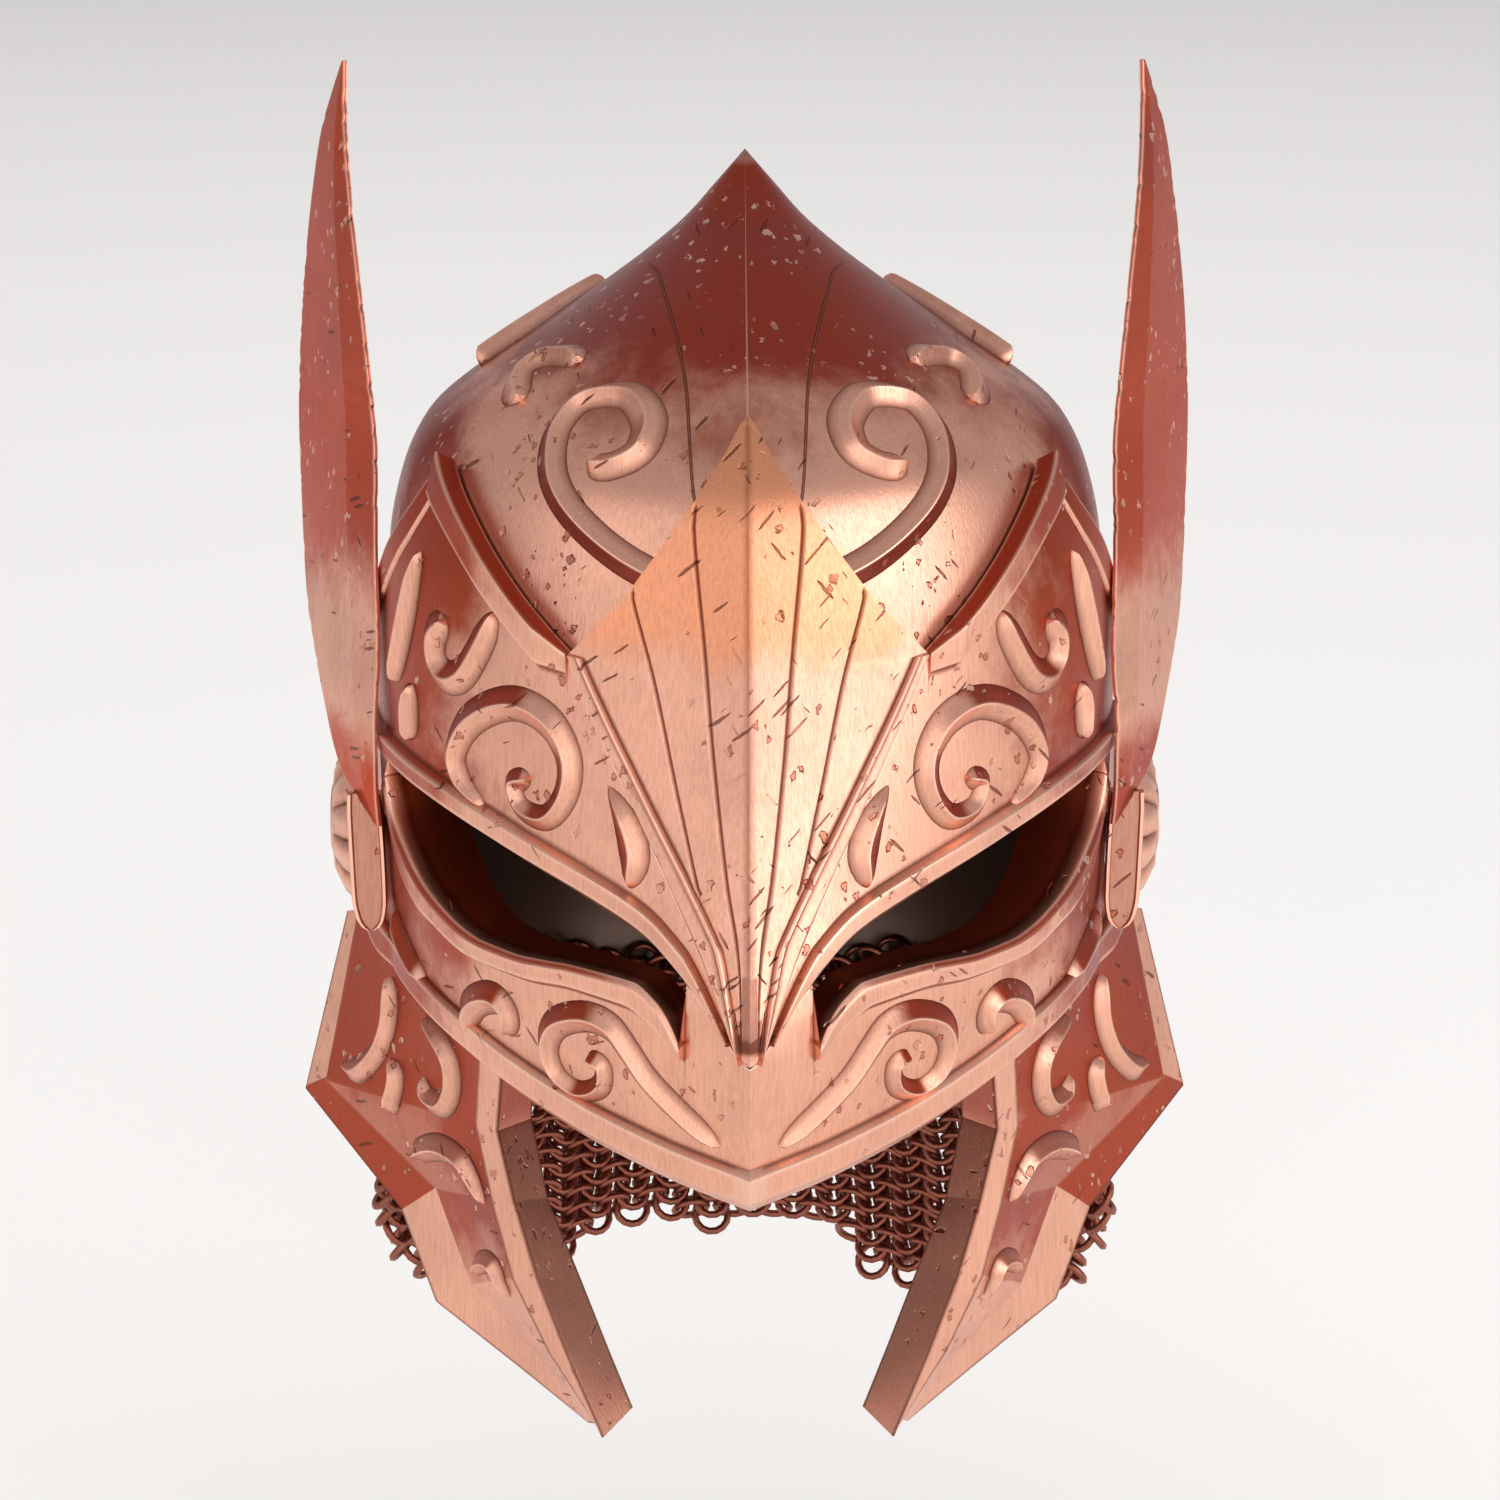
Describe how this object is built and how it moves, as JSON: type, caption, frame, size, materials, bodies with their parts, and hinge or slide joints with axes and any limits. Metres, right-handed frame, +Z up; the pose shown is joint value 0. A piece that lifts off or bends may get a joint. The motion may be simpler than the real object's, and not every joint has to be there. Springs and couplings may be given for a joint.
{
  "type": "fantasy helmet with wings and mail curtain",
  "caption": "Pointed metal helmet with brow plate, masked face, cheek guards, tall ear wings, relief scrolls and a ragged chain mail neck curtain, open below for a head.",
  "frame": {"origin": "middle of the head at the height of the ears, where the helmet is carried", "axes": "+Z up to the crown's point, -Y out of the face, +X towards the wearer's left as the face is seen"},
  "size_m": [0.261, 0.2628, 0.4074],
  "materials": {
    "skull_copper": "brushed copper, dark red in the shade, pitted",
    "brow_copper": "brushed copper with dark scratches",
    "visor_copper": "brushed copper, worn",
    "face_copper": "brushed copper, worn",
    "guard_copper": "brushed copper, worn",
    "boss_copper": "brushed copper",
    "wing_copper": "brushed copper, nicked edges",
    "mail_copper": "dark copper rings"
  },
  "bodies": {
    "root": {"skull": "skull_copper", "brow_plate": "brow_copper", "visor_left": "visor_copper", "visor_right": "visor_copper", "face_plate": "face_copper", "cheek_guard_left": "guard_copper", "cheek_guard_right": "guard_copper", "ear_boss_left": "boss_copper", "ear_boss_right": "boss_copper", "wing_left": "wing_copper", "wing_right": "wing_copper", "mail_curtain": "mail_copper"}
  },
  "joints": []
}
